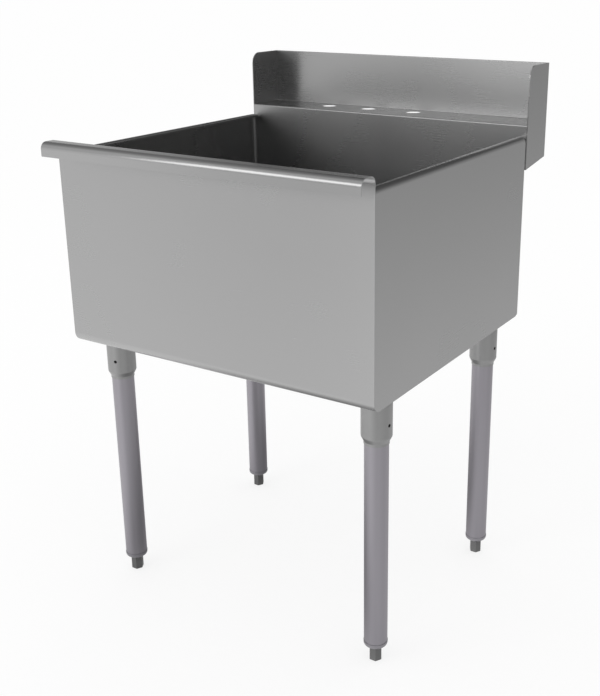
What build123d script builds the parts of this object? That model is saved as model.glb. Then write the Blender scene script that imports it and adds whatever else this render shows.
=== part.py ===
from build123d import *
import os
from math import cos, pi, radians, sin

# Free-standing laundry sink of folded stainless sheet on four adjustable legs.
# Millimetres, +Z up, the user stands at -Y. The origin is on the floor, under the middle of the sink.

# ------------------------------------------------------------------ driving sizes
SHEET = 1.5                  # stainless sheet
WIDTH = 635.0                # over the side panels
BOWL_LENGTH = 562.5          # front wall to back wall, over the sheet
DECK_DEPTH = 91.5            # from the back wall to the back of the splashback
ROLL_OUT = 38.1              # the front roll stands this far in front of the front wall

BOWL_Z = 502.0               # underside of the bowl above the floor
RIM_RISE = 351.5             # side rims above that underside
DECK_RISE = 371.0            # front roll and tap deck above it
SPLASH_RISE = 478.5          # top of the splashback above it

BEND_R = 18.0                # front and back bends of the bowl's bottom, outside
RIM_R = 8.5                  # bend of the side panels' top and back edges, outside
PANEL_CORNER_R = 15.5        # the side panels' upper back corner, seen from the side
RIM_WIDTH = 15.0             # side rims, from the panel's face inwards
RIM_LIP = 7.0                # height of the lip at the rim's inner edge
RIM_LIP_R = 3.5              # bend between rim and lip, outside
ROLL_R = 12.0                # both bends of the front roll
ROLL_LIP_RISE = 346.5        # lower edge of the roll's front lip
DECK_FRONT_R = 2.5           # bend at the front of the deck, outside
DECK_BACK_R = 1.0            # bend between the deck and the splashback, inside

PLATE_R = 22.0               # rounded front corner of the splash end plates
PLATE_FRONT_RISE = 287.0     # lower edge at the front
PLATE_BACK_RISE = 300.0      # lower edge at the back
PLATE_TAB = 12.0             # turned-in tab that joins a plate to the side panel's back edge
HEM = 12.0                   # folded top edge of the splashback

TAP_HOLE_R = 15.9            # three tap holes, 1 1/4 in across
TAP_SPREAD = 203.2           # the outer two are 8 in apart
TAP_X = -57.9                # their middle, left of the sink's middle
TAP_MIDDLE_X = -62.8         # the middle hole stands a little further left
TAP_BACK = 59.0              # from the back wall's face to the holes

DISH_R = 80.0                # pressed dish round the drain
DISH_FLOOR_R = 61.0
DISH_DROP = 5.0
DRAIN_HOLE_R = 45.5

LEG_INSET_X = 38.1           # leg centre lines from the side panels
LEG_INSET_FRONT = 73.5       # and from the front wall
LEG_INSET_BACK = 78.0        # and from the back wall
TUBE_R = 20.65               # 1 5/8 in tube
TUBE_WALL = 1.5
TUBE_TOP_DROP = 14.0         # tube's upper end below the bowl
TUBE_END_DROP = 463.0        # tube's lower end below the bowl

PAD_THICK = 3.0              # plate between the bowl and each socket
PAD_X = 64.0
PAD_Y = 100.0
SOCKET_R = 26.25
SOCKET_NECK_R = 21.6
SOCKET_SHOULDER_DROP = 71.5  # where the straight body ends
SOCKET_NECK_DROP = 80.5      # where the shoulder reaches the neck
SOCKET_END_DROP = 85.0
SOCKET_SHOULDER_R = 7.0      # rounding of the shoulder's upper edge
SOCKET_NECK_FILLET = 1.5
SOCKET_TOP_R = 0.5
SOCKET_WEB = 6.0             # closed upper end of the socket
FIT_GAP = 0.1                # radial gap of the tube in the socket and of the insert in the tube

SCREW_DROP = 48.0            # set screws below the bowl
SCREW_R = 3.0
SCREW_SINK = 1.2             # head below the socket's surface
SCREW_KEY_R = 1.7
SCREW_KEY_DEPTH = 2.5

INSERT_SHOULDER_R = 21.15    # domed foot insert, where it meets the tube's end
INSERT_SHOULDER = 3.5
INSERT_DOME_DROP = 473.0     # lower end of the dome
INSERT_DOME_R = 14.2         # its radius there
INSERT_BOSS_R = 11.2
INSERT_END_DROP = 476.0
INSERT_PLUG = 38.0           # length inside the tube
STEM_R = 6.35                # 1/2 in threaded stem of the foot
STEM_GAP = 0.06              # running clearance of the stem in the insert
STEM_LENGTH = 52.0
FOOT_FLATS = 20.6            # 13/16 in across the flats
FOOT_GAP = 0.5               # hexagon below the insert at rest
FOOT_CHAMFER = 1.2

# ------------------------------------------------------------------ places worked out from them
HALF = WIDTH / 2
INSIDE = HALF - SHEET                                 # inner face of the side panels
TOTAL_DEPTH = ROLL_OUT + BOWL_LENGTH + DECK_DEPTH
LIP_Y = -TOTAL_DEPTH / 2                              # front face of the roll
FRONT_Y = LIP_Y + ROLL_OUT                            # front face of the front wall
BACK_Y = FRONT_Y + BOWL_LENGTH                        # back face of the back wall
SPLASH_Y = BACK_Y + DECK_DEPTH                        # back of the splashback

FLOOR_Z = BOWL_Z + SHEET                              # floor of the bowl
RIM_Z = BOWL_Z + RIM_RISE
DECK_Z = BOWL_Z + DECK_RISE
SPLASH_Z = BOWL_Z + SPLASH_RISE
SEAM_Z = DECK_Z - DECK_FRONT_R - SHEET                # the back wall's weld, just below the deck's bend
DRAIN_Y = (FRONT_Y + BACK_Y) / 2
DISH_Z = FLOOR_Z - DISH_DROP                          # upper face of the dish round the drain
TAP_HOLES_X = (TAP_X - TAP_SPREAD / 2, TAP_MIDDLE_X, TAP_X + TAP_SPREAD / 2)

LEG_X = HALF - LEG_INSET_X
LEG_FRONT_Y = FRONT_Y + LEG_INSET_FRONT
LEG_BACK_Y = BACK_Y - LEG_INSET_BACK
LEGS = {                                              # leg name: X, Y, direction of its set screw
    "front_left": (-LEG_X, LEG_FRONT_Y, -72),
    "front_right": (LEG_X, LEG_FRONT_Y, -8),
    "back_left": (-LEG_X, LEG_BACK_Y, 180),
    "back_right": (LEG_X, LEG_BACK_Y, -8),
}

DRAIN_AXIS = Axis((0, DRAIN_Y, 0), (0, 0, 1))
DRAIN_PLANE = Plane(origin=(0, DRAIN_Y, 0), x_dir=(1, 0, 0), z_dir=(0, -1, 0))

os.makedirs("parts", exist_ok=True)


def save(part, label):
    """Labels a finished piece and writes its STEP file."""
    part.label = label
    export_step(part, f"parts/{label}.step")


def block(x0, x1, y0, y1, z0, z1, mode=Mode.ADD):
    """A box given by its six faces, in the part that is being built."""
    with Locations(((x0 + x1) / 2, (y0 + y1) / 2, (z0 + z1) / 2)):
        Box(x1 - x0, y1 - y0, z1 - z0, mode=mode)


def ring(label, points):
    """A round piece of the drain from its half section, given as (radius, height above the dish)."""
    with BuildPart() as piece:
        with BuildSketch(DRAIN_PLANE):
            with BuildLine():
                Polyline(*[(r, DISH_Z + h) for r, h in points], close=True)
            make_face()
        revolve(axis=DRAIN_AXIS)
    save(piece.part, label)


# ------------------------------------------------------------------ side panels
# A flat panel with its top and back edges turned in, and a lip along the rim's inner edge.
RIM_EDGE = HALF - RIM_WIDTH
BEND_TOP = RIM_Z - RIM_R                              # where the rim's bend starts, on the panel's outside


def panel_block(inner_x, top_z, inset, rim=True):
    """The side panel's outline as a rounded block, each bent side moved in by inset."""
    y_mid, length = (FRONT_Y + BACK_Y) / 2, BOWL_LENGTH - 2 * inset
    x_mid, width = (inner_x + HALF - inset) / 2, HALF - inset - inner_x
    z_mid, height = (top_z + BOWL_Z + inset) / 2, top_z - BOWL_Z - inset
    with BuildPart() as body:
        with BuildSketch(Plane.YZ.offset(inner_x)) as side:
            with Locations((y_mid, z_mid)):
                Rectangle(length, height)
            if rim:
                upper_back = side.vertices().group_by(Axis.Y)[-1].sort_by(Axis.X)[-1]
                fillet(upper_back, radius=PANEL_CORNER_R - inset)
        extrude(amount=width)
        outline = body.faces().sort_by(Axis.X)[-1].edges()
        back_edge = outline.sort_by(Axis.Y)[-1:]
        # with a rim, the bend runs on from the back edge round the corner and along the top
        bent = outline.sort_by(Axis.Z)[1:].sort_by(Axis.Y)[1:] if rim else back_edge
        fillet(bent, radius=RIM_R - inset)
        if rim:
            with BuildSketch(Plane.XZ.offset(inset - BACK_Y)) as section:
                with Locations((x_mid, z_mid)):
                    Rectangle(width, height)
                fillet(section.vertices().group_by(Axis.X)[0].sort_by(Axis.Y)[-1], radius=RIM_LIP_R - inset)
            extrude(amount=length, mode=Mode.INTERSECT)
        with BuildSketch(Plane.YZ.offset(inner_x)) as lower:
            with Locations((y_mid, z_mid)):
                Rectangle(length, height)
            fillet(lower.vertices().group_by(Axis.Y)[0], radius=BEND_R - inset)
        extrude(amount=width, mode=Mode.INTERSECT)
    return body.part


panel_outside = panel_block(RIM_EDGE, RIM_Z, 0.0)
panel_inside = panel_block(RIM_EDGE + SHEET, RIM_Z - SHEET, SHEET)
panel_below_lip = panel_block(RIM_EDGE - SHEET, RIM_Z - RIM_LIP, SHEET, rim=False)
with BuildPart() as side_panel_right:
    add(panel_outside)
    add(panel_inside, mode=Mode.SUBTRACT)
    add(panel_below_lip, mode=Mode.SUBTRACT)
    # along the bottom and the front there is no turned edge: the bowl sheet lies between the panels
    block(RIM_EDGE - SHEET, INSIDE, FRONT_Y - SHEET, BACK_Y - BEND_R, BOWL_Z - SHEET, RIM_Z - RIM_LIP,
          mode=Mode.SUBTRACT)
    block(RIM_EDGE - SHEET, INSIDE, FRONT_Y - SHEET, FRONT_Y + SHEET, BOWL_Z - SHEET, RIM_Z + SHEET,
          mode=Mode.SUBTRACT)
    # the rim's bend ends behind the front wall, which is as wide as the sink from there upwards
    block(INSIDE - SHEET, HALF + SHEET, FRONT_Y - SHEET, FRONT_Y + SHEET, BEND_TOP, RIM_Z + SHEET,
          mode=Mode.SUBTRACT)
save(side_panel_right.part, "side_panel_right")

with BuildPart() as side_panel_left:
    add(side_panel_right.part.mirror(Plane.YZ))
save(side_panel_left.part, "side_panel_left")

with BuildPart() as rim_corner:
    add(panel_outside)
    block(RIM_EDGE - SHEET, HALF + SHEET, BACK_Y - PANEL_CORNER_R, BACK_Y + SHEET, RIM_Z - PANEL_CORNER_R,
          RIM_Z + SHEET, mode=Mode.INTERSECT)

# ------------------------------------------------------------------ bowl sheet
# One sheet: front roll, front wall, bend, bottom, bend, back wall. The drawn line is the face on the
# outside of the roll, which is also the face towards the water. The roll's ends are open.
with BuildPart() as bowl_sheet:
    with BuildSketch(Plane.YZ.offset(-HALF)):
        with BuildLine():
            FilletPolyline(
                (LIP_Y, BOWL_Z + ROLL_LIP_RISE),
                (LIP_Y, DECK_Z),
                (FRONT_Y + SHEET, DECK_Z),
                (FRONT_Y + SHEET, FLOOR_Z),
                (BACK_Y - SHEET, FLOOR_Z),
                (BACK_Y - SHEET, SEAM_Z),
                radius=(ROLL_R, ROLL_R, BEND_R - SHEET, BEND_R - SHEET),
            )
            offset(amount=SHEET, side=Side.LEFT)
        make_face()
    extrude(amount=WIDTH)
    for side in (-1, 1):
        # below the rims and behind the roll, the sheet ends at the side panels' inner faces
        x0, x1 = sorted((side * INSIDE, side * (HALF + SHEET)))
        block(x0, x1, FRONT_Y, BACK_Y + SHEET, BOWL_Z - SHEET, BEND_TOP, mode=Mode.SUBTRACT)
        block(x0, x1, FRONT_Y + SHEET, BACK_Y + SHEET, BOWL_Z, DECK_Z, mode=Mode.SUBTRACT)
        # the panels' turned back edges take the place of the sheet at the upright corners
        x0, x1 = sorted((side * RIM_EDGE, side * (HALF + SHEET)))
        block(x0, x1, BACK_Y - BEND_R, BACK_Y + SHEET, BOWL_Z - SHEET, RIM_Z - PANEL_CORNER_R,
              mode=Mode.SUBTRACT)
    add(rim_corner.part, mode=Mode.SUBTRACT)
    add(rim_corner.part.mirror(Plane.YZ), mode=Mode.SUBTRACT)
    # a round dish is pressed down in the bottom, with the drain hole in its middle
    with Locations((0, DRAIN_Y, BOWL_Z + SHEET / 2)):
        Cylinder(DISH_R, 2 * SHEET, mode=Mode.SUBTRACT)
    with BuildSketch(DRAIN_PLANE):
        with BuildLine():
            Polyline(
                (DISH_R, FLOOR_Z),
                (DISH_FLOOR_R, DISH_Z),
                (DRAIN_HOLE_R, DISH_Z),
                (DRAIN_HOLE_R, DISH_Z - SHEET),
                (DISH_FLOOR_R + SHEET / 2, DISH_Z - SHEET),
                (DISH_R, BOWL_Z),
                close=True,
            )
        make_face()
    revolve(axis=DRAIN_AXIS)
save(bowl_sheet.part, "bowl_sheet")

# ------------------------------------------------------------------ deck and splashback
with BuildPart() as deck_splash:
    with BuildSketch(Plane.YZ.offset(-INSIDE)):
        with BuildLine():
            FilletPolyline(
                (BACK_Y - SHEET, SEAM_Z),
                (BACK_Y - SHEET, DECK_Z),
                (SPLASH_Y - 2 * SHEET, DECK_Z),
                (SPLASH_Y - 2 * SHEET, SPLASH_Z),
                radius=(DECK_FRONT_R, DECK_BACK_R),
            )
            offset(amount=SHEET, side=Side.RIGHT)
        make_face()
    extrude(amount=2 * INSIDE)
    # the top edge is folded down behind the sheet
    block(-INSIDE, INSIDE, SPLASH_Y - SHEET, SPLASH_Y, SPLASH_Z - HEM, SPLASH_Z)
    fillet(deck_splash.edges().filter_by(Axis.X).group_by(Axis.Z)[-1], radius=0.9 * SHEET)
    with Locations(*((x, BACK_Y + TAP_BACK, DECK_Z) for x in TAP_HOLES_X)):
        Cylinder(TAP_HOLE_R, 4 * SHEET, mode=Mode.SUBTRACT)
save(deck_splash.part, "deck_splash")

# ------------------------------------------------------------------ end plates of the splashback
with BuildPart() as splash_end_right:
    with BuildSketch(Plane.YZ.offset(INSIDE)) as plate_face:
        with BuildLine():
            Polyline(
                (BACK_Y, BOWL_Z + PLATE_FRONT_RISE),
                (SPLASH_Y, BOWL_Z + PLATE_BACK_RISE),
                (SPLASH_Y, SPLASH_Z),
                (BACK_Y, SPLASH_Z),
                close=True,
            )
        make_face()
        fillet(plate_face.vertices().group_by(Axis.Y)[-1].sort_by(Axis.X)[0], radius=PLATE_R)
    extrude(amount=SHEET)
    block(INSIDE - PLATE_TAB, INSIDE, BACK_Y, BACK_Y + SHEET, BOWL_Z + PLATE_FRONT_RISE, BEND_TOP)
save(splash_end_right.part, "splash_end_right")

with BuildPart() as splash_end_left:
    add(splash_end_right.part.mirror(Plane.YZ))
save(splash_end_left.part, "splash_end_left")


# ------------------------------------------------------------------ legs
def round_piece(x, y, points):
    """A turned piece of a leg from its half section, given as (radius, drop below the bowl)."""
    with BuildPart() as piece:
        with BuildSketch(Plane(origin=(x, y, 0), x_dir=(1, 0, 0), z_dir=(0, -1, 0))):
            with BuildLine():
                Polyline(*[(r, BOWL_Z - drop) for r, drop in points], close=True)
            make_face()
        revolve(axis=Axis((x, y, 0), (0, 0, 1)))
    return piece.part


def socket_pad(x, y):
    """The flat plate between the bowl and a leg socket."""
    with BuildPart() as pad:
        with BuildSketch(Plane.XY.offset(BOWL_Z - PAD_THICK)):
            with Locations((x, y)):
                RectangleRounded(PAD_X, PAD_Y, radius=8)
        extrude(amount=PAD_THICK)
    return pad.part


def radial_plane(x, y, angle):
    """A plane across a set screw, on the leg's centre line, facing outwards."""
    out = (cos(radians(angle)), sin(radians(angle)), 0)
    return Plane(origin=(x, y, BOWL_Z - SCREW_DROP), z_dir=out)


def leg_socket(x, y, angle):
    """The cup that takes the tube: straight body, sloping shoulder, short neck, set screw hole."""
    bore = TUBE_R + FIT_GAP
    with BuildPart() as socket:
        with BuildSketch(Plane(origin=(x, y, 0), x_dir=(1, 0, 0), z_dir=(0, -1, 0))):
            with BuildLine():
                FilletPolyline(
                    (0, BOWL_Z - PAD_THICK),
                    (SOCKET_R, BOWL_Z - PAD_THICK),
                    (SOCKET_R, BOWL_Z - SOCKET_SHOULDER_DROP),
                    (SOCKET_NECK_R, BOWL_Z - SOCKET_NECK_DROP),
                    (SOCKET_NECK_R, BOWL_Z - SOCKET_END_DROP),
                    radius=(SOCKET_TOP_R, SOCKET_SHOULDER_R, SOCKET_NECK_FILLET),
                )
                Polyline(
                    (SOCKET_NECK_R, BOWL_Z - SOCKET_END_DROP),
                    (bore, BOWL_Z - SOCKET_END_DROP),
                    (bore, BOWL_Z - PAD_THICK - SOCKET_WEB),
                    (0, BOWL_Z - PAD_THICK - SOCKET_WEB),
                    (0, BOWL_Z - PAD_THICK),
                )
            make_face()
        revolve(axis=Axis((x, y, 0), (0, 0, 1)))
        with BuildSketch(radial_plane(x, y, angle)):
            Circle(SCREW_R)
        extrude(amount=SOCKET_R + SHEET, mode=Mode.SUBTRACT)
    return socket.part


def foot_insert(x, y):
    """The domed end of a leg: a plug in the tube, a shoulder, a dome and a boss round the stem."""
    plug = TUBE_R - TUBE_WALL - FIT_GAP
    bore = STEM_R + STEM_GAP
    dome_start = TUBE_END_DROP + INSERT_SHOULDER
    with BuildPart() as insert:
        with BuildSketch(Plane(origin=(x, y, 0), x_dir=(1, 0, 0), z_dir=(0, -1, 0))):
            with BuildLine():
                Polyline(
                    (bore, BOWL_Z - TUBE_END_DROP + INSERT_PLUG),
                    (plug, BOWL_Z - TUBE_END_DROP + INSERT_PLUG),
                    (plug, BOWL_Z - TUBE_END_DROP),
                    (INSERT_SHOULDER_R, BOWL_Z - TUBE_END_DROP),
                    (INSERT_SHOULDER_R, BOWL_Z - dome_start),
                )
                EllipticalCenterArc(
                    (INSERT_DOME_R, BOWL_Z - dome_start),
                    INSERT_SHOULDER_R - INSERT_DOME_R, INSERT_DOME_DROP - dome_start,
                    start_angle=270, arc_size=90,
                )
                Polyline(
                    (INSERT_DOME_R, BOWL_Z - INSERT_DOME_DROP),
                    (INSERT_BOSS_R, BOWL_Z - INSERT_DOME_DROP),
                    (INSERT_BOSS_R, BOWL_Z - INSERT_END_DROP),
                    (bore, BOWL_Z - INSERT_END_DROP),
                    (bore, BOWL_Z - TUBE_END_DROP + INSERT_PLUG),
                )
            make_face()
        revolve(axis=Axis((x, y, 0), (0, 0, 1)))
    return insert.part


def adjusting_foot(x, y):
    """The foot: a hexagon that stands on the floor, with a threaded stem up into the insert."""
    top = BOWL_Z - INSERT_END_DROP - FOOT_GAP
    with BuildPart() as foot:
        with BuildSketch(Plane.XY):
            with Locations((x, y)):
                RegularPolygon(FOOT_FLATS / 2, 6, major_radius=False)
        extrude(amount=top)
        chamfer(foot.faces().sort_by(Axis.Z)[0].edges(), length=FOOT_CHAMFER)
        with BuildSketch(Plane.XY.offset(top)):
            with Locations((x, y)):
                Circle(STEM_R)
        extrude(amount=STEM_LENGTH)
        chamfer(foot.faces().sort_by(Axis.Z)[-1].edges(), length=FOOT_CHAMFER)
    return foot.part


for name, (leg_x, leg_y, screw_angle) in LEGS.items():
    save(socket_pad(leg_x, leg_y), f"socket_pad_{name}")
    save(leg_socket(leg_x, leg_y, screw_angle), f"leg_socket_{name}")
    tube_section = [
        (TUBE_R - TUBE_WALL, TUBE_TOP_DROP),
        (TUBE_R, TUBE_TOP_DROP),
        (TUBE_R, TUBE_END_DROP),
        (TUBE_R - TUBE_WALL, TUBE_END_DROP),
    ]
    save(round_piece(leg_x, leg_y, tube_section), f"leg_tube_{name}")
    save(foot_insert(leg_x, leg_y), f"foot_insert_{name}")
    save(adjusting_foot(leg_x, leg_y), f"foot_{name}")

with BuildPart() as set_screws:
    for leg_x, leg_y, screw_angle in LEGS.values():
        across = radial_plane(leg_x, leg_y, screw_angle)
        with BuildSketch(across.offset(TUBE_R)):
            Circle(SCREW_R)
        extrude(amount=SOCKET_R - SCREW_SINK - TUBE_R)
        with BuildSketch(across.offset(SOCKET_R - SCREW_SINK - SCREW_KEY_DEPTH)):
            RegularPolygon(SCREW_KEY_R, 6)
        extrude(amount=SCREW_KEY_DEPTH, mode=Mode.SUBTRACT)
save(set_screws.part, "set_screws")

# ------------------------------------------------------------------ drain
# Heights are counted from the dish's upper face. The strainer body hangs in the hole by its flange.
BODY_R = 44.3                # outside of the cup, threaded for the locknut
BODY_IN_R = 42.5
FLANGE_R = 57.0
FLANGE_BEVEL = 2.0
SEAT_R = 49.5                # step in the flange that takes the basket's rim
SEAT_H = 0.8
FLANGE_H = 2.0
CUP_H = -42.0                # where the cup's wall ends and its floor starts
CUP_FLOOR_H = -48.0          # where the floor meets the stopper's seat
STOPPER_SEAT = 2.0           # width and depth of that seat
FLOOR_DROP = 2.5             # the floor's underside below it
OUTLET_H = -66.0             # lower end of the threaded outlet
OUTLET_R = 22.3
OUTLET_IN_R = 18.0
GASKET_H = 3.0
GASKET_R = 56.0
FIBRE_H = 1.0
NUT_H = 10.0
NUT_R = 54.0
LUG_OUT = 4.0                # the locknut has six lugs for the spanner
LUG_WIDTH = 12.0
THREAD_GAP = 0.1

ring("strainer_body", [
    (BODY_R, 0), (FLANGE_R, 0), (FLANGE_R, SEAT_H), (FLANGE_R - FLANGE_BEVEL, FLANGE_H), (SEAT_R, FLANGE_H),
    (SEAT_R, SEAT_H), (BODY_IN_R, SEAT_H), (BODY_IN_R, CUP_H), (OUTLET_IN_R + STOPPER_SEAT, CUP_FLOOR_H),
    (OUTLET_IN_R, CUP_FLOOR_H - STOPPER_SEAT), (OUTLET_IN_R, OUTLET_H), (OUTLET_R, OUTLET_H),
    (OUTLET_R, CUP_FLOOR_H - FLOOR_DROP), (BODY_R, CUP_H - FLANGE_BEVEL),
])
GASKET_END = -SHEET - GASKET_H
FIBRE_END = GASKET_END - FIBRE_H
BODY_BORE = BODY_R + THREAD_GAP
ring("drain_gasket", [
    (BODY_BORE, GASKET_END), (GASKET_R, GASKET_END), (GASKET_R, -SHEET), (BODY_BORE, -SHEET),
])
ring("fibre_washer", [
    (BODY_BORE, FIBRE_END), (GASKET_R, FIBRE_END), (GASKET_R, GASKET_END), (BODY_BORE, GASKET_END),
])
with BuildPart() as locknut:
    with BuildSketch(Plane.XY.offset(DISH_Z + FIBRE_END - NUT_H)):
        with Locations((0, DRAIN_Y)):
            Circle(NUT_R)
            with PolarLocations(NUT_R, 6):
                Rectangle(2 * LUG_OUT, LUG_WIDTH)
            Circle(BODY_BORE, mode=Mode.SUBTRACT)
    extrude(amount=NUT_H)
save(locknut.part, "locknut")

# coupling nut, washer and tailpiece below the outlet
WASHER_H = 1.5
WASHER_R = 22.0
WASHER_IN_R = 18.2
COUPLING_TOP = -54.0
COUPLING_END = -73.0
COUPLING_R = 28.5
TAIL_R = 19.05               # 1 1/2 in tailpiece
TAIL_WALL = 1.05
TAIL_NECK_R = 18.85          # it is a little thinner inside the nut
TAIL_NECK_END = -76.0
TAIL_END = -112.0
WASHER_END = OUTLET_H - WASHER_H
TAIL_FLANGE_TOP = WASHER_END - THREAD_GAP
TAIL_FLANGE_END = TAIL_FLANGE_TOP - SHEET
ring("tailpiece_washer", [
    (WASHER_IN_R, WASHER_END), (WASHER_R, WASHER_END), (WASHER_R, OUTLET_H), (WASHER_IN_R, OUTLET_H),
])
ring("tailpiece", [
    (TAIL_R - TAIL_WALL, TAIL_FLANGE_TOP), (WASHER_R, TAIL_FLANGE_TOP), (WASHER_R, TAIL_FLANGE_END),
    (TAIL_NECK_R, TAIL_FLANGE_END), (TAIL_NECK_R, TAIL_NECK_END), (TAIL_R, TAIL_NECK_END),
    (TAIL_R, TAIL_END), (TAIL_R - TAIL_WALL, TAIL_END),
])
with BuildPart() as coupling_nut:
    with BuildSketch(Plane.XY.offset(DISH_Z + COUPLING_END)):
        with Locations((0, DRAIN_Y)):
            RegularPolygon(COUPLING_R, 8, major_radius=False)
    extrude(amount=COUPLING_TOP - COUPLING_END)
    chamfer(coupling_nut.edges().group_by(Axis.Z)[0], length=FOOT_CHAMFER)
    chamfer(coupling_nut.edges().group_by(Axis.Z)[-1], length=FOOT_CHAMFER)
    # bored for the outlet's thread down to the tailpiece's flange, and for the tailpiece below it
    with BuildSketch(DRAIN_PLANE):
        with BuildLine():
            Polyline(
                (0, DISH_Z + COUPLING_TOP + SHEET), (OUTLET_R + THREAD_GAP, DISH_Z + COUPLING_TOP + SHEET),
                (OUTLET_R + THREAD_GAP, DISH_Z + TAIL_FLANGE_END - THREAD_GAP),
                (TAIL_R + THREAD_GAP, DISH_Z + TAIL_FLANGE_END - THREAD_GAP),
                (TAIL_R + THREAD_GAP, DISH_Z + COUPLING_END - SHEET), (0, DISH_Z + COUPLING_END - SHEET),
                close=True,
            )
        make_face()
    revolve(axis=DRAIN_AXIS, mode=Mode.SUBTRACT)
save(coupling_nut.part, "coupling_nut")

# ------------------------------------------------------------------ lift-out basket
BASKET_WALL = 1.0
BASKET_RIM_R = 49.0
BASKET_TOP_R = 40.0
BASKET_END_R = 34.0
BASKET_RIM_H = 1.9
BASKET_END_H = -42.0
BASKET_HOLE_R = 2.2
FLOOR_HOLES = ((10, 8), (18, 14), (26, 20))          # radius of each ring of holes, and how many
WALL_ROWS = (-34, -24, -14)                          # heights of the rows of holes in the wall
WALL_HOLES = 18                                      # in each row
POST_R = 2.5
POST_BORE = POST_R + THREAD_GAP
POST_END = -52.0
POST_HEAD_R = 4.5                                    # riveted lower end of the post
POST_HEAD_H = 1.2
KNOB_R = 9.0
KNOB_END = -6.0                                      # where the post swells into the knob
KNOB_TOP = 4.0
STOPPER_R = 21.5
STOPPER_END_R = 17.4
STOPPER_TOP = -43.5
STOPPER_EDGE = -46.9
STOPPER_END = -50.6
with BuildPart() as strainer_basket:
    with BuildSketch(DRAIN_PLANE):
        with BuildLine():
            Polyline(
                (POST_BORE, DISH_Z + BASKET_END_H),
                (BASKET_END_R, DISH_Z + BASKET_END_H),
                (BASKET_TOP_R, DISH_Z + BASKET_RIM_H - BASKET_WALL),
                (BASKET_RIM_R, DISH_Z + BASKET_RIM_H - BASKET_WALL),
                (BASKET_RIM_R, DISH_Z + BASKET_RIM_H),
                (BASKET_TOP_R - BASKET_WALL, DISH_Z + BASKET_RIM_H),
                (BASKET_END_R - BASKET_WALL, DISH_Z + BASKET_END_H + BASKET_WALL),
                (POST_BORE, DISH_Z + BASKET_END_H + BASKET_WALL),
                close=True,
            )
        make_face()
    revolve(axis=DRAIN_AXIS)
    with Locations((0, DRAIN_Y, DISH_Z + BASKET_END_H)):
        for hole_ring, count in FLOOR_HOLES:
            with PolarLocations(hole_ring, count):
                Cylinder(BASKET_HOLE_R, 4 * BASKET_WALL, mode=Mode.SUBTRACT)
    for row, height in enumerate(WALL_ROWS):
        for step in range(WALL_HOLES):
            # every other row is turned by half a step
            turn = 2 * pi * (step + 0.5 * (row % 2)) / WALL_HOLES
            with BuildSketch(Plane(origin=(0, DRAIN_Y, DISH_Z + height), z_dir=(cos(turn), sin(turn), 0))):
                Circle(BASKET_HOLE_R)
            extrude(amount=BASKET_RIM_R - BASKET_WALL, mode=Mode.SUBTRACT)
save(strainer_basket.part, "strainer_basket")

ring("basket_post", [
    (0, POST_END), (POST_HEAD_R, POST_END), (POST_HEAD_R, POST_END + POST_HEAD_H),
    (POST_R, POST_END + POST_HEAD_H), (POST_R, KNOB_END), (POST_R + 1.5, KNOB_END + 1.5),
    (KNOB_R - 1, KNOB_END + 3), (KNOB_R, KNOB_END + 5), (KNOB_R, KNOB_TOP - 2.5),
    (KNOB_R - 2, KNOB_TOP - 0.6), (0, KNOB_TOP),
])
ring("basket_stopper", [
    (POST_BORE, STOPPER_END), (STOPPER_END_R, STOPPER_END),
    (STOPPER_END_R + STOPPER_SEAT, STOPPER_EDGE - 1), (STOPPER_R, STOPPER_EDGE),
    (STOPPER_R, STOPPER_TOP), (POST_BORE, STOPPER_TOP),
])
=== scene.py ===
# %% [markdown]
# # A free-standing laundry sink in satin stainless steel
# The sheets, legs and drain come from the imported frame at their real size, and this script dresses them.
# Most pieces of the frame only need a finish. The screw feet and the basket's knob are modelled again,
# because their threads and roundings are finer than the frame's. Everything is in metres: the floor is at
# zero, the person at the sink stands at -Y, and +Z is up.

# %% Load the frame
from math import pi, radians

import bmesh
import bpy
from mathutils import Matrix, Vector


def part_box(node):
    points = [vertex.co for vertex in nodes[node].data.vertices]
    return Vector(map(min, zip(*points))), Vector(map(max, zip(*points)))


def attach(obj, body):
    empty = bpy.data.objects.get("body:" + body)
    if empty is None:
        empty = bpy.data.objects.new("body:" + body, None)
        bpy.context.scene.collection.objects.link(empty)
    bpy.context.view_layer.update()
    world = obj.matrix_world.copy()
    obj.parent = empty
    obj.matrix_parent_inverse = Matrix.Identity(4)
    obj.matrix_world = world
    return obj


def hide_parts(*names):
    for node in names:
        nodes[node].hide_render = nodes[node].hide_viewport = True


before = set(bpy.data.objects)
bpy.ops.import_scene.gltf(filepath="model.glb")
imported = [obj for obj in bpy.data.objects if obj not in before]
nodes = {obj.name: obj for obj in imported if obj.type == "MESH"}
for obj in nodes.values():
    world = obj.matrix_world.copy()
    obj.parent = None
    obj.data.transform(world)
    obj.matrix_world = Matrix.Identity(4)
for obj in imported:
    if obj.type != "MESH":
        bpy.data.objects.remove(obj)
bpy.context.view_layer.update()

# %% [markdown]
# ## Camera
# The photograph's straight edges give its viewpoint: its place, its turn and its focal length. The picture
# was cropped after it was taken, so the point that the lens looks at lies off the middle. A camera's shift
# does the same: it slides the picture sideways without turning the view. Turning the camera would slide
# the picture too, but it would also change how the sink's edges run together.

# %% Camera
PICTURE = (600, 696)
LOOK_POINT = (354.7, 306.4)
FOCAL_PIXELS = 1022
CAMERA_PLACE = (1.0408, -1.5439, 1.1505)
CAMERA_TURN = 0.5499
CAMERA_DIP = 0.319
CAMERA_ROLL = -0.0024
FARTHEST_SEEN = 200

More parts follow.
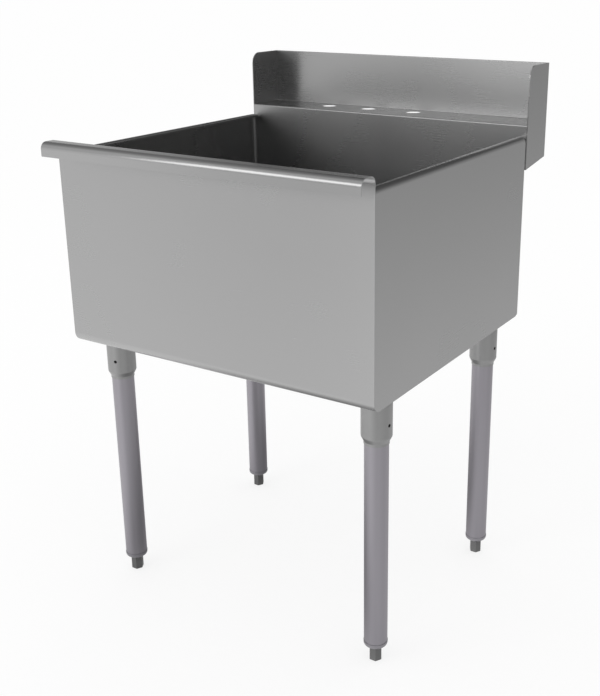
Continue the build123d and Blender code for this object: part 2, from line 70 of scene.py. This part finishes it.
camera_data = bpy.data.cameras.new("camera")
camera_data.lens = camera_data.sensor_width * FOCAL_PIXELS / PICTURE[1]
camera_data.shift_x = (PICTURE[0] / 2 - LOOK_POINT[0]) / PICTURE[1]
camera_data.shift_y = (LOOK_POINT[1] - PICTURE[1] / 2) / PICTURE[1]
camera_data.clip_end = FARTHEST_SEEN
camera = bpy.data.objects.new("camera", camera_data)
bpy.context.scene.collection.objects.link(camera)
camera.matrix_world = (
    Matrix.Translation(CAMERA_PLACE)
    @ Matrix.Rotation(CAMERA_TURN, 4, "Z")
    @ Matrix.Rotation(radians(90) - CAMERA_DIP, 4, "X")
    @ Matrix.Rotation(CAMERA_ROLL, 4, "Z")
)
bpy.context.scene.camera = camera
print("lens", round(camera_data.lens, 1), "mm")
print("shift", round(camera_data.shift_x, 3), round(camera_data.shift_y, 3))

# %% [markdown]
# ## Node helpers
# A material in Blender is a small graph. These helpers put a node down and wire it, so that each finish
# below reads as a short list of steps. A setting's name picks either a choice of the node, such as its
# data type, or an input, whose name is written with a low line in place of each space.

# %% Node helpers
def add_node(tree, kind, **settings):
    """A new node with its settings and its unlinked input values filled in."""
    node = tree.nodes.new(kind)
    for key, value in settings.items():
        if hasattr(node, key):
            setattr(node, key, value)
        else:
            node.inputs[key.replace("_", " ")].default_value = value
    return node


def wire(tree, source, target):
    """Runs a link from an output to an input."""
    tree.links.new(source, target)


def fill(tree, socket, value):
    """Gives an input a number, or wires it to another node's output."""
    if isinstance(value, (int, float)):
        socket.default_value = value
    else:
        wire(tree, value, socket)


def math_node(tree, operation, a, b=0.0):
    """A Math node on two values, each a number or another node's output."""
    node = add_node(tree, "ShaderNodeMath", operation=operation)
    for socket, value in zip(node.inputs, (a, b)):
        fill(tree, socket, value)
    return node.outputs[0]


def spread(tree, value, low, high):
    """Stretches a pattern that runs from 0 to 1, so that it runs from low to high."""
    node = add_node(tree, "ShaderNodeMapRange", To_Min=low, To_Max=high)
    wire(tree, value, node.inputs["Value"])
    return node.outputs["Result"]


def new_material(name):
    """A material, its graph and its main shader."""
    material = bpy.data.materials.new(name)
    material.use_nodes = True
    return material, material.node_tree, material.node_tree.nodes["Principled BSDF"]


# %% [markdown]
# ## Patterns
# Every finish here is made of one or two patterns on the piece's own coordinates. A cloud is a plain
# noise, some centimetres across. A grain is the same noise squeezed, so that each blob becomes a scratch.
# Both are read in Object coordinates, which are the sink's own metres, so a scratch has the same size on
# every piece and runs on from one piece to the next.

# %% Patterns
BUMP_STRENGTH = 0.3


def noise(tree, scale, detail=2.0, squeeze=(1, 1, 1)):
    """A noise pattern with so many blobs to the metre, squeezed by three factors."""
    place = add_node(tree, "ShaderNodeTexCoord")
    mapping = add_node(tree, "ShaderNodeMapping", Scale=squeeze)
    pattern = add_node(tree, "ShaderNodeTexNoise", Scale=scale, Detail=detail)
    wire(tree, place.outputs["Object"], mapping.inputs["Vector"])
    wire(tree, mapping.outputs["Vector"], pattern.inputs["Vector"])
    return pattern.outputs["Fac"]


def tint_by(tree, shader, pattern, colour, change):
    """Lets a pattern darken and lighten the colour a little."""
    mix = add_node(tree, "ShaderNodeMix", data_type="RGBA")
    mix.inputs["A"].default_value = [c * (1 - change) for c in colour] + [1]
    mix.inputs["B"].default_value = [min(1, c * (1 + change)) for c in colour] + [1]
    wire(tree, pattern, mix.inputs["Factor"])
    wire(tree, mix.outputs["Result"], shader.inputs["Base Color"])


def bump_by(tree, shader, pattern, depth):
    """Lets a pattern raise and lower the surface by a depth in metres."""
    bump = add_node(tree, "ShaderNodeBump", Strength=BUMP_STRENGTH, Distance=depth)
    wire(tree, pattern, bump.inputs["Height"])
    wire(tree, bump.outputs["Normal"], shader.inputs["Normal"])


# %% [markdown]
# ## Steel
# Satin sheet is ground with a fine belt, which leaves long scratches in one direction. They are too fine
# to model, so a squeezed noise moves the roughness, the colour and the surface's slope a little. A broad
# cloud adds the uneven sheen of sheet that has been rolled, bent and handled.
#
# Thousands of parallel scratches also smear a reflection across their own direction, so a bright window
# turns into a tall upright band. The shader's Anisotropic value makes that smear and its Tangent says
# which way it goes. A quarter turn of Anisotropic Rotation puts it across the grain. On the round pieces
# the smear hardly shows, so they go without.

# %% Steel
BLOBS_ACROSS_GRAIN = 900.0
BLOBS_ALONG_GRAIN = 6.0
QUARTER_TURN = 0.25
TINT_PER_STREAK = 0.4


def smear_across(tree, shader, grain, amount):
    """Stretches reflections at right angles to the grain."""
    along = add_node(tree, "ShaderNodeCombineXYZ", **{grain: 1.0})
    wire(tree, along.outputs[0], shader.inputs["Tangent"])
    shader.inputs["Anisotropic"].default_value = amount
    shader.inputs["Anisotropic Rotation"].default_value = QUARTER_TURN


def steel(name, colour, roughness, grain="X", grain_depth=0.00002, streaks=0.05, cloud=0.03, cloud_scale=5.0):
    """Ground steel with its grain along one axis."""
    material, tree, shader = new_material(name)
    shader.inputs["Metallic"].default_value = 1.0
    squeeze = [BLOBS_ALONG_GRAIN if axis == grain else BLOBS_ACROSS_GRAIN for axis in "XYZ"]
    scratches = noise(tree, scale=1.0, detail=3.0, squeeze=squeeze)
    sheen = spread(tree, noise(tree, cloud_scale), -cloud, cloud)
    streak = spread(tree, scratches, roughness - streaks, roughness + streaks)
    wire(tree, math_node(tree, "ADD", sheen, streak), shader.inputs["Roughness"])
    tint_by(tree, shader, scratches, colour, TINT_PER_STREAK * streaks)
    bump_by(tree, shader, scratches, grain_depth)
    return material


# %% [markdown]
# ## Worn places and painted shade
# A finish also changes from place to place on one piece: it is worn smoother in one place, and painted
# shade darkens it in others. A mask is a number from 0 to 1 over the surface: here it goes up along one
# axis, either of the place or of the way that the surface faces. Where the mask is 1, a plain value takes
# the place of the input's own pattern. One material with a mask follows a bend of the sheet, which a
# second material on some of the faces couldn't.

# %% Worn places and painted shade
def place_mask(tree, output, axis, start, end):
    """Goes from 0 to 1 as one axis of a coordinate goes from start to end."""
    place = add_node(tree, "ShaderNodeTexCoord")
    axes = add_node(tree, "ShaderNodeSeparateXYZ")
    step = add_node(tree, "ShaderNodeMapRange", From_Min=start, From_Max=end)
    wire(tree, place.outputs[output], axes.inputs[0])
    wire(tree, axes.outputs[axis], step.inputs["Value"])
    return step.outputs["Result"]


def change_where(material, mask, name, value):
    """Gives an input of a material a plain value where the mask is 1."""
    tree = material.node_tree
    target = tree.nodes["Principled BSDF"].inputs[name]
    before = target.links[0].from_socket
    mix = add_node(tree, "ShaderNodeMix", data_type="RGBA" if name == "Base Color" else "FLOAT")
    put_in, put_out = [[s for s in group if s.enabled] for group in (mix.inputs, mix.outputs)]
    wire(tree, mask, put_in[0])
    wire(tree, before, put_in[1])
    put_in[2].default_value = value
    wire(tree, put_out[0], target)


# %% [markdown]
# ## Finishing whole nodes
# Most pieces of the frame have their right shape already and only need a material. An object keeps its
# materials in a list of slots, so the list is emptied and then holds the one finish.

# %% Helper for whole nodes
def finish_nodes(material, *names):
    """Gives whole nodes of the frame one material."""
    for name in names:
        slots = nodes[name].data.materials
        slots.clear()
        slots.append(material)
    print(material.name, "on", ", ".join(names))


# %% [markdown]
# ## Sheets
# The bowl and the deck are ground along their width, and the side panels and end plates along their depth.
# The scratches are so shallow that they show only as the smear, so the bump and the streaks are almost
# nothing. A face that lies flat, such as the deck, gets a darker grey, which brings it nearer to the
# photograph. That grey is painted shade: it stands in for the dimmer reflection on a flat face.

# %% Sheets
SHEET_GREY = (0.43, 0.43, 0.43)
SATIN = 0.27
SHEET_GRAIN_DEPTH = 0.000002
SHEET_STREAKS = 0.005
SMEAR = 0.8
# The grey of flat faces is painted shade, darker than the sheet's own grey.
FLAT_SHADE_GREY = (0.3, 0.3, 0.3)
FLAT_STARTS, FLAT_FULL = 0.9, 0.99


def ground_sheet(name, grain):
    """Satin sheet that smears its reflections, with painted shade that makes it darker where it lies flat."""
    sheet = steel(name, SHEET_GREY, SATIN, grain, SHEET_GRAIN_DEPTH, SHEET_STREAKS)
    tree = sheet.node_tree
    smear_across(tree, tree.nodes["Principled BSDF"], grain, SMEAR)
    # Painted shade: faces that lie flat get the darker grey, in place of a dimmer reflection.
    flat_shade_mask = place_mask(tree, "Normal", "Z", FLAT_STARTS, FLAT_FULL)
    change_where(sheet, flat_shade_mask, "Base Color", (*FLAT_SHADE_GREY, 1))
    return sheet


sheet_steel = ground_sheet("sheet_steel", "X")
side_steel = ground_sheet("side_steel", "Y")
finish_nodes(sheet_steel, "bowl_sheet", "deck_splash")
finish_nodes(side_steel, "side_panel_left", "side_panel_right", "splash_end_left", "splash_end_right")

# %% [markdown]
# The front roll is the part that hands and clothes rub, so it is smoother than the rest of its sheet, and
# its highlight is brighter. The mask starts where the front wall turns over into the roll. The roll's top
# keeps the sheet's own grey, without the painted shade of flat faces, although it lies flat too.

# %% Front roll
ROLL_STARTS, ROLL_FULL = -0.309, -0.313
ROLL_POLISH = 0.2

on_roll = place_mask(sheet_steel.node_tree, "Object", "Y", ROLL_STARTS, ROLL_FULL)
change_where(sheet_steel, on_roll, "Roughness", ROLL_POLISH)
# The roll's top is kept clear of the flat faces' painted shade.
change_where(sheet_steel, on_roll, "Base Color", (*SHEET_GREY, 1))
print("roughness", SATIN, "on the sheet,", ROLL_POLISH, "on the roll")

# %% [markdown]
# ## Legs
# The tubes are drawn steel, polished along their length, and look a little violet beside the sheet. The
# sockets are cast and then turned, so their cloud is smaller and stronger. The pads stay as they came from
# the mill. The set screws are blackened.

# %% Leg finishes
LEGS = ("front_left", "front_right", "back_left", "back_right")
TUBE_GREY = (0.36, 0.345, 0.375)
SOCKET_GREY = (0.33, 0.33, 0.33)
INSERT_GREY = (0.34, 0.33, 0.355)
SCREW_BLACK = (0.05, 0.05, 0.05)
tube_steel = steel("tube_steel", TUBE_GREY, roughness=0.40, grain="Z", grain_depth=0.00003)
socket_metal = steel("socket_metal", SOCKET_GREY, roughness=0.36, grain="Z", cloud=0.06, cloud_scale=40.0)
pad_steel = steel("pad_steel", SOCKET_GREY, roughness=0.45, cloud=0.08, cloud_scale=30.0)
insert_metal = steel("insert_metal", INSERT_GREY, roughness=0.34, grain="Z", cloud=0.05, cloud_scale=40.0)
screw_steel = steel("screw_steel", SCREW_BLACK, roughness=0.5, grain="Z", cloud=0.05, cloud_scale=300.0)

for leg in LEGS:
    finish_nodes(tube_steel, "leg_tube_" + leg)
    finish_nodes(socket_metal, "leg_socket_" + leg)
    finish_nodes(pad_steel, "socket_pad_" + leg)
    finish_nodes(insert_metal, "foot_insert_" + leg)
finish_nodes(screw_steel, "set_screws")

# %% [markdown]
# Each socket is welded under the bowl, and its top lies in the bowl's shade. That shade is painted: a mask
# by height gives the top a darker grey. It starts a little below the pad and is full just above the pad's
# underside.

# %% Painted shade on the sockets
# Painted shade: a darker grey on each socket's top, where the bowl shades it.
SOCKET_SHADE_GREY = (0.15, 0.148, 0.145)
SHADE_BELOW_PAD = 0.012
SHADE_ABOVE_PAD = 0.002

pad_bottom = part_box("socket_pad_front_left")[0][2]
shade_starts = pad_bottom - SHADE_BELOW_PAD
shade_full = pad_bottom + SHADE_ABOVE_PAD
# The mask puts the painted shade on the top of each socket, next to the bowl.
under_bowl_shade = place_mask(socket_metal.node_tree, "Object", "Z", shade_starts, shade_full)
change_where(socket_metal, under_bowl_shade, "Base Color", (*SOCKET_SHADE_GREY, 1))
print("socket shade from", round(shade_starts, 4), "to", round(shade_full, 4))

# %% [markdown]
# ## Drain finishes
# The strainer is polished steel, and its nuts are plated or cast. Cast metal is pitted, which is a fine
# noise used as a bump, with no grain. Rubber and fibre aren't metal: the rubber is nearly black with a
# dull skin, and the fibre is pressed paper, so its colour is mottled.

# %% Drain finishes
POLISHED_GREY = (0.52, 0.52, 0.52)
CHROME_GREY = (0.6, 0.6, 0.6)
CAST_GREY = (0.45, 0.45, 0.44)
RUBBER_BLACK = (0.035, 0.035, 0.037)
FIBRE_BROWN = (0.2, 0.1, 0.05)
PIT_SHEEN = 0.08


def pitted(name, colour, roughness, metal, pit_scale, pit_depth, mottle=0.05):
    """A surface without grain: a fine noise makes its pits and mottles its colour."""
    material, tree, shader = new_material(name)
    shader.inputs["Metallic"].default_value = metal
    pits = noise(tree, pit_scale, detail=4.0)
    sheen = spread(tree, pits, roughness - PIT_SHEEN, roughness + PIT_SHEEN)
    wire(tree, sheen, shader.inputs["Roughness"])
    tint_by(tree, shader, pits, colour, mottle)
    bump_by(tree, shader, pits, pit_depth)
    return material


drain_steel = steel("drain_steel", POLISHED_GREY, roughness=0.22, grain="Z", cloud=0.04, cloud_scale=40.0)
drain_chrome = pitted(
    "drain_chrome", CHROME_GREY, roughness=0.14, metal=1.0, pit_scale=60.0, pit_depth=0.00001, mottle=0.02,
)
nut_metal = pitted("nut_metal", CAST_GREY, roughness=0.48, metal=1.0, pit_scale=900.0, pit_depth=0.0001)
black_rubber = pitted(
    "black_rubber", RUBBER_BLACK, roughness=0.62, metal=0.0, pit_scale=1500.0, pit_depth=0.00005, mottle=0.15,
)
pressed_fibre = pitted(
    "pressed_fibre", FIBRE_BROWN, roughness=0.8, metal=0.0, pit_scale=700.0, pit_depth=0.0001, mottle=0.3,
)
finish_nodes(drain_steel, "strainer_body", "strainer_basket")
finish_nodes(drain_chrome, "coupling_nut", "tailpiece")
finish_nodes(nut_metal, "locknut")
finish_nodes(black_rubber, "drain_gasket", "tailpiece_washer", "basket_stopper")
finish_nodes(pressed_fibre, "fibre_washer")

# %% [markdown]
# ## Keeping a piece
# A new piece starts as a bare mesh. It is moved to its place, its faces are turned outwards, and its
# curved sides are shaded smooth, while an edge sharper than 35 degrees stays crisp. Then it is told which
# body of the sink it moves with and which finish it wears.

# %% Helper that keeps a piece
CRISP_EDGE = radians(35)


def keep(bm, name, body, material, place):
    """Makes a finished mesh an object of the sink."""
    bmesh.ops.translate(bm, verts=bm.verts, vec=place)
    bmesh.ops.recalc_face_normals(bm, faces=bm.faces)
    for face in bm.faces:
        face.smooth = True
    for edge in bm.edges:
        edge.smooth = edge.calc_face_angle(0.0) < CRISP_EDGE
    mesh = bpy.data.meshes.new(name)
    bm.to_mesh(mesh)
    bm.free()
    piece = bpy.data.objects.new(name, mesh)
    bpy.context.scene.collection.objects.link(piece)
    mesh.materials.append(material)
    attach(piece, body)
    print(name, len(mesh.polygons), "faces")
    return piece


# %% [markdown]
# ## Turned pieces and threads
# A turned piece is one line spun round an axis. The line's corners are bevelled first, so that the piece
# has the small roundings of a real one. A screw thread is a spin as well: each step of the spin also
# climbs a little, so a small triangle becomes a ridge that winds up the stem.

# %% Helpers for turned pieces
TURN_STEPS = 48
SAME_PLACE = 1e-6
FLANK_SHARE = 0.45


def turn(bm, points, rounding):
    """A closed turned shape. Its line of (radius, height) points starts and ends on the axis."""
    line = [bm.verts.new((radius, 0, height)) for radius, height in points]
    for pair in zip(line, line[1:]):
        bm.edges.new(pair)
    bmesh.ops.bevel(
        bm, geom=line[1:-1], offset=rounding, segments=3, profile=0.5, affect="VERTICES", material=-1,
    )
    outline = [edge for edge in bm.edges if not edge.link_faces]
    bmesh.ops.spin(
        bm, geom=outline, cent=(0, 0, 0), axis=(0, 0, 1), angle=2 * pi, steps=TURN_STEPS, use_merge=True,
    )
    bmesh.ops.remove_doubles(bm, verts=bm.verts, dist=SAME_PLACE)


def thread(bm, root, crest, low, high, pitch, steps=24):
    """A ridge that winds up round the axis, as a closed triangle swept along a helix."""
    flank = pitch * FLANK_SHARE
    triangle = ((root, 0, low), (crest, 0, low + flank), (root, 0, low + 2 * flank))
    corners = [bm.verts.new(corner) for corner in triangle]
    start = bm.faces.new(corners)
    turns = (high - low - 2 * flank) / pitch
    count = int(turns * steps)
    bmesh.ops.spin(
        bm, geom=[start] + list(start.edges) + corners, cent=(0, 0, 0), axis=(0, 0, 1),
        dvec=(0, 0, pitch / steps), angle=2 * pi * count / steps, steps=count, use_duplicate=False,
    )


# %% [markdown]
# ## Screw feet
# Each foot is a hexagon with a threaded stem. The hexagon is a cylinder of six sides whose end edges are
# rounded off, so that they catch a little light. The stem's core is turned, and the thread winds round it.
# The core starts a little inside the hexagon, and the thread's root lies a little inside the core, so that
# no gap shows.

# %% Screw feet
FOOT_ACROSS_FLATS = 0.0206
FOOT_CORNER_R = FOOT_ACROSS_FLATS / 3 ** 0.5
FOOT_ROUNDING = 0.001
STEM_LENGTH = 0.052
STEM_SUNK = 0.001
STEM_ROUNDING = 0.0006
STEM_R = 0.00635
THREAD_ROOT = 0.0055
THREAD_SUNK = 0.0001
THREAD_PITCH = 0.00195
BARE_TIP = 0.001
FOOT_GREY = (0.2, 0.2, 0.2)
foot_metal = steel("foot_metal", FOOT_GREY, roughness=0.38, grain="Z", cloud=0.05, cloud_scale=60.0)


def screw_foot(leg):
    """The hexagon and stem of one leg's foot."""
    low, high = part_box("foot_" + leg)
    middle = ((low[0] + high[0]) / 2, (low[1] + high[1]) / 2, 0)
    top = high[2]
    hexagon_top = top - STEM_LENGTH
    upright = Matrix.Translation((0, 0, hexagon_top / 2)) @ Matrix.Rotation(radians(30), 4, "Z")
    bm = bmesh.new()
    bmesh.ops.create_cone(
        bm, cap_ends=True, segments=6, radius1=FOOT_CORNER_R, radius2=FOOT_CORNER_R, depth=hexagon_top,
        matrix=upright,
    )
    rims = [edge for edge in bm.edges if abs(edge.verts[0].co.z - edge.verts[1].co.z) < SAME_PLACE]
    bmesh.ops.bevel(
        bm, geom=rims, offset=FOOT_ROUNDING, segments=2, profile=0.5, affect="EDGES", material=-1,
    )
    core = THREAD_ROOT + THREAD_SUNK
    core_bottom = hexagon_top - STEM_SUNK
    turn(bm, [(0, core_bottom), (core, core_bottom), (core, top), (0, top)], STEM_ROUNDING)
    thread(bm, THREAD_ROOT, STEM_R, hexagon_top, top - BARE_TIP, THREAD_PITCH)
    piece = keep(bm, "screw_foot_" + leg, "foot_" + leg, foot_metal, middle)
    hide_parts("foot_" + leg)


for leg in LEGS:
    screw_foot(leg)

# %% [markdown]
# ## Strainer thread
# The strainer's cup is threaded for its locknut. Below the nut the thread shows as a fine ridge on the
# bare cup, so it gets one. The ridge is a piece of its own, since the frame's cup is right as it is.

# %% Strainer thread
CUP_R = 0.0443
CUP_RIDGE = 0.0006
CUP_PITCH = 0.0021
CUP_THREAD_LENGTH = 0.0242
NUT_GAP = 0.0003
CUP_THREAD_STEPS = 72

post_low, post_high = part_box("basket_post")
nut_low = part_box("locknut")[0]
drain_middle = ((post_low[0] + post_high[0]) / 2, (post_low[1] + post_high[1]) / 2, 0)
thread_low = nut_low[2] - CUP_THREAD_LENGTH
thread_high = nut_low[2] - NUT_GAP
bm = bmesh.new()
thread(bm, CUP_R - THREAD_SUNK, CUP_R + CUP_RIDGE, thread_low, thread_high, CUP_PITCH, CUP_THREAD_STEPS)
keep(bm, "cup_thread", "sink", drain_steel, drain_middle)

# %% [markdown]
# ## Basket knob
# The basket's knob is turned in one piece with its post, and it is what a hand touches, so it has full
# roundings. Its outline is given as radii and as depths below the knob's top, from the post up to the
# crown.

# %% Basket knob
POST_FOOT_R = 0.0045
POST_FOOT_HEIGHT = 0.0012
POST_R = 0.0025
KNOB_OUTLINE = (
    (POST_R, 0.0102), (0.0040, 0.0086), (0.0080, 0.0072), (0.0090, 0.0052),
    (0.0090, 0.0026), (0.0070, 0.0006), (0.0035, 0), (0, 0),
)
KNOB_ROUNDING = 0.0005

bottom = post_low[2]
foot_top = bottom + POST_FOOT_HEIGHT
outline = [(0, bottom), (POST_FOOT_R, bottom), (POST_FOOT_R, foot_top), (POST_R, foot_top)]
outline += [(radius, post_high[2] - depth) for radius, depth in KNOB_OUTLINE]
bm = bmesh.new()
turn(bm, outline, KNOB_ROUNDING)
knob = keep(bm, "basket_knob", "basket", drain_steel, drain_middle)
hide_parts("basket_post")

# %% [markdown]
# ## Room
# Steel has almost no look of its own: it shows the room. So the room is painted as rings round the sink.
# Each ring is a row of brightness by compass direction: one on the floor, one at the horizon, one above.
# The photograph's room is bright in front and to the left, dark round the camera and on the right, and
# darkest high behind the sink, with one bright patch high on the right. Lamps could make such a room too,
# but each would also cast a shadow and light the pieces that aren't metal. A painted ring does neither.

# %% Rings of the room
FLOOR_RING = (
    (-180, .74), (-90, .70), (-34, .80), (0, .95), (31, 1.02), (50, 1.05), (90, 1.0), (130, .9), (180, .74),
)
HORIZON_RING = (
    (-180, .37), (-150, .37), (-90, .35), (-60, .50), (-30, .24), (-12, .5), (8, .9), (16, 1.5), (21, 1.5),
    (30, .48), (34, .50), (48, .88), (80, .85), (125, .90), (132, .80), (137, .50), (143, .32), (155, .30),
    (180, .37),
)
UPPER_RING = (
    (-180, .10), (-90, .40), (-60, 1.0), (-34, .55), (0, .4), (31, .5), (60, .7), (90, .35), (120, .25),
    (133, .25), (142, .12), (180, .10),
)
ZENITH = 0.8
print("rings of", len(FLOOR_RING), len(HORIZON_RING), len(UPPER_RING), "marks")

# %% [markdown]
# A ring becomes a Color Ramp, which goes smoothly from mark to mark. A ramp runs from 0 to 1 and holds
# colours up to 1, so directions are scaled to it, and brightness is halved in it and doubled after it. A
# second helper blends two rings as the direction rises.

# %% Helpers for the rings
RAMP_TOP = 2.0


def ring(tree, position, marks):
    """Brightness by direction: 0 degrees is straight in front of the sink, 90 is to its left."""
    ramp = add_node(tree, "ShaderNodeValToRGB")
    ramp.color_ramp.interpolation = "EASE"
    stops = ramp.color_ramp.elements
    while len(stops) < len(marks):
        stops.new(0.5)
    for stop, (degrees, level) in zip(stops, marks):
        stop.position = (degrees + 180) / 360
        stop.color = (level / RAMP_TOP, level / RAMP_TOP, level / RAMP_TOP, 1)
    wire(tree, position, ramp.inputs["Fac"])
    return math_node(tree, "MULTIPLY", ramp.outputs["Color"], RAMP_TOP)


def blend(tree, low, high, height, start, end):
    """Goes from one value to another as the direction rises from start to end."""
    rise = add_node(tree, "ShaderNodeMapRange", From_Min=start, From_Max=end)
    wire(tree, height, rise.inputs["Value"])
    mix = add_node(tree, "ShaderNodeMix", data_type="FLOAT")
    wire(tree, rise.outputs["Result"], mix.inputs["Factor"])
    fill(tree, mix.inputs["A"], low)
    fill(tree, mix.inputs["B"], high)
    return mix.outputs["Result"]


# %% [markdown]
# The world's Generated coordinate is the direction that a ray takes. Its angle round the sink picks the
# place on each ring, and its height blends the rings. The world isn't sampled as a lamp, because a lamp's
# rays wouldn't know that they belong to a reflection.

# %% Painted room
FLOOR_TO_HORIZON = (-0.40, -0.08)
HORIZON_TO_UPPER = (0.08, 0.34)
UPPER_TO_ZENITH = (0.82, 0.98)

world = bpy.data.worlds.new("studio")
bpy.context.scene.world = world
world.use_nodes = True
world.cycles.sampling_method = "NONE"
tree = world.node_tree
place = add_node(tree, "ShaderNodeTexCoord")
axes = add_node(tree, "ShaderNodeSeparateXYZ")
wire(tree, place.outputs["Generated"], axes.inputs[0])
left = math_node(tree, "MULTIPLY", axes.outputs["X"], -1.0)
front = math_node(tree, "MULTIPLY", axes.outputs["Y"], -1.0)
angle = math_node(tree, "ARCTAN2", left, front)
position = math_node(tree, "ADD", math_node(tree, "DIVIDE", angle, 2 * pi), 0.5)
height = axes.outputs["Z"]
room = ring(tree, position, FLOOR_RING)
room = blend(tree, room, ring(tree, position, HORIZON_RING), height, *FLOOR_TO_HORIZON)
room = blend(tree, room, ring(tree, position, UPPER_RING), height, *HORIZON_TO_UPPER)
room = blend(tree, room, ZENITH, height, *UPPER_TO_ZENITH)
print("world", world.name, "of", len(tree.nodes), "nodes")

# %% [markdown]
# Only reflections see the rings. The camera sees plain white, and all other light is a plain even level.
# The Light Path node tells these rays apart. A look through glass would count as a reflection.

# %% What each ray sees
CAMERA_WHITE = 1.0
EVEN_LIGHT = 0.9


def reflected(tree):
    """1 for the rays of a reflection or of a look through glass, and 0 for all others."""
    rays = add_node(tree, "ShaderNodeLightPath")
    return math_node(tree, "MAXIMUM", rays.outputs["Is Glossy Ray"], rays.outputs["Is Transmission Ray"])


rays = add_node(tree, "ShaderNodeLightPath")
plain = spread(tree, rays.outputs["Is Camera Ray"], EVEN_LIGHT, CAMERA_WHITE)
level = add_node(tree, "ShaderNodeMix", data_type="FLOAT")
wire(tree, reflected(tree), level.inputs["Factor"])
wire(tree, plain, level.inputs["A"])
wire(tree, room, level.inputs["B"])
background = tree.nodes["Background"]
background.inputs["Color"].default_value = (1, 1, 1, 1)
wire(tree, level.outputs["Result"], background.inputs["Strength"])
print("white", CAMERA_WHITE, "for the camera, even light", EVEN_LIGHT)

# %% [markdown]
# ## Floor
# The floor is a plain square, so wide that its edges are never seen. It is a mix of white paper and a
# white glow: the glow keeps it white everywhere, and the paper lets the sink have a pale shadow.

# %% Floor
FLOOR_HALF = 60
FLOOR_GLOW = 1.02
PAPER_SHARE = 0.25
WHITE = (1, 1, 1, 1)


def stage_plane(name, half):
    """A flat square on the floor that isn't part of the sink."""
    mesh = bpy.data.meshes.new(name)
    bm = bmesh.new()
    bmesh.ops.create_grid(bm, x_segments=1, y_segments=1, size=half)
    bm.to_mesh(mesh)
    bm.free()
    piece = bpy.data.objects.new(name, mesh)
    bpy.context.scene.collection.objects.link(piece)
    return piece


floor = stage_plane("floor", FLOOR_HALF)
floor_look = bpy.data.materials.new("floor")
floor_look.use_nodes = True
tree = floor_look.node_tree
tree.nodes.remove(tree.nodes["Principled BSDF"])
lit = add_node(tree, "ShaderNodeBsdfDiffuse", Color=WHITE)
glow = add_node(tree, "ShaderNodeEmission", Color=WHITE, Strength=FLOOR_GLOW)
paper = add_node(tree, "ShaderNodeMixShader", Fac=PAPER_SHARE)
wire(tree, glow.outputs[0], paper.inputs[1])
wire(tree, lit.outputs[0], paper.inputs[2])
floor.data.materials.append(floor_look)
print("floor of", 2 * FLOOR_HALF, "m")

# %% [markdown]
# A reflection passes through the floor to the painted room, so that the floor can be one tone for the
# camera and another for the steel. The sink shades the floor below itself, which the room's ring doesn't
# know. So the reflection is dimmed inside a soft-edged rectangle under the bowl.

# %% Shade under the bowl
SHADE = 0.33
SHADE_X = -0.06
SHADE_HALF = (0.27, 0.50)
SHADE_EDGE = 0.25

place = add_node(tree, "ShaderNodeTexCoord")
axes = add_node(tree, "ShaderNodeSeparateXYZ")
wire(tree, place.outputs["Object"], axes.inputs[0])
beside = math_node(tree, "ABSOLUTE", math_node(tree, "SUBTRACT", axes.outputs["X"], SHADE_X))
along = math_node(tree, "ABSOLUTE", axes.outputs["Y"])
past_sides = math_node(tree, "SUBTRACT", beside, SHADE_HALF[0])
past_ends = math_node(tree, "SUBTRACT", along, SHADE_HALF[1])
apart = add_node(
    tree, "ShaderNodeMapRange", interpolation_type="SMOOTHSTEP",
    From_Min=-SHADE_EDGE, From_Max=SHADE_EDGE, To_Min=SHADE, To_Max=1.0,
)
wire(tree, math_node(tree, "MAXIMUM", past_sides, past_ends), apart.inputs["Value"])
through = add_node(tree, "ShaderNodeBsdfTransparent")
wire(tree, apart.outputs["Result"], through.inputs["Color"])
answer = add_node(tree, "ShaderNodeMixShader")
wire(tree, reflected(tree), answer.inputs["Fac"])
wire(tree, paper.outputs[0], answer.inputs[1])
wire(tree, through.outputs[0], answer.inputs[2])
wire(tree, answer.outputs[0], tree.nodes["Material Output"].inputs["Surface"])
print("shade", SHADE, "under the bowl")

# %% [markdown]
# ## Lamp
# One wide soft lamp hangs high in front on the left. Its own reflection is the bright line along the front
# roll, and its size is the line's width: a small lamp would give a thin hard line. It is dim, because most
# of the light comes from the even room.

# %% Lamp
LAMP_PLACE = (-1.3, -2.5, 1.85)
LAMP_TARGET = (0, 0, 0.8)
LAMP_SIZE = (1.4, 1.2)
LAMP_POWER = 8.5

lamp = bpy.data.lights.new("key", "AREA")
lamp.shape = "RECTANGLE"
lamp.size, lamp.size_y = LAMP_SIZE
lamp.energy = LAMP_POWER
key = bpy.data.objects.new("key", lamp)
bpy.context.scene.collection.objects.link(key)
key.location = LAMP_PLACE
aim = Vector(LAMP_TARGET) - Vector(LAMP_PLACE)
key.rotation_euler = aim.to_track_quat("-Z", "Y").to_euler()
print("lamp", round(aim.length, 2), "m from the sink")

# %% [markdown]
# ## View
# The Standard view shows a colour as it is written. Blender's own choice would bend the bright tones, and
# the white floor would turn grey.

# %% View
bpy.context.scene.view_settings.view_transform = "Standard"
print("view", bpy.context.scene.view_settings.view_transform)
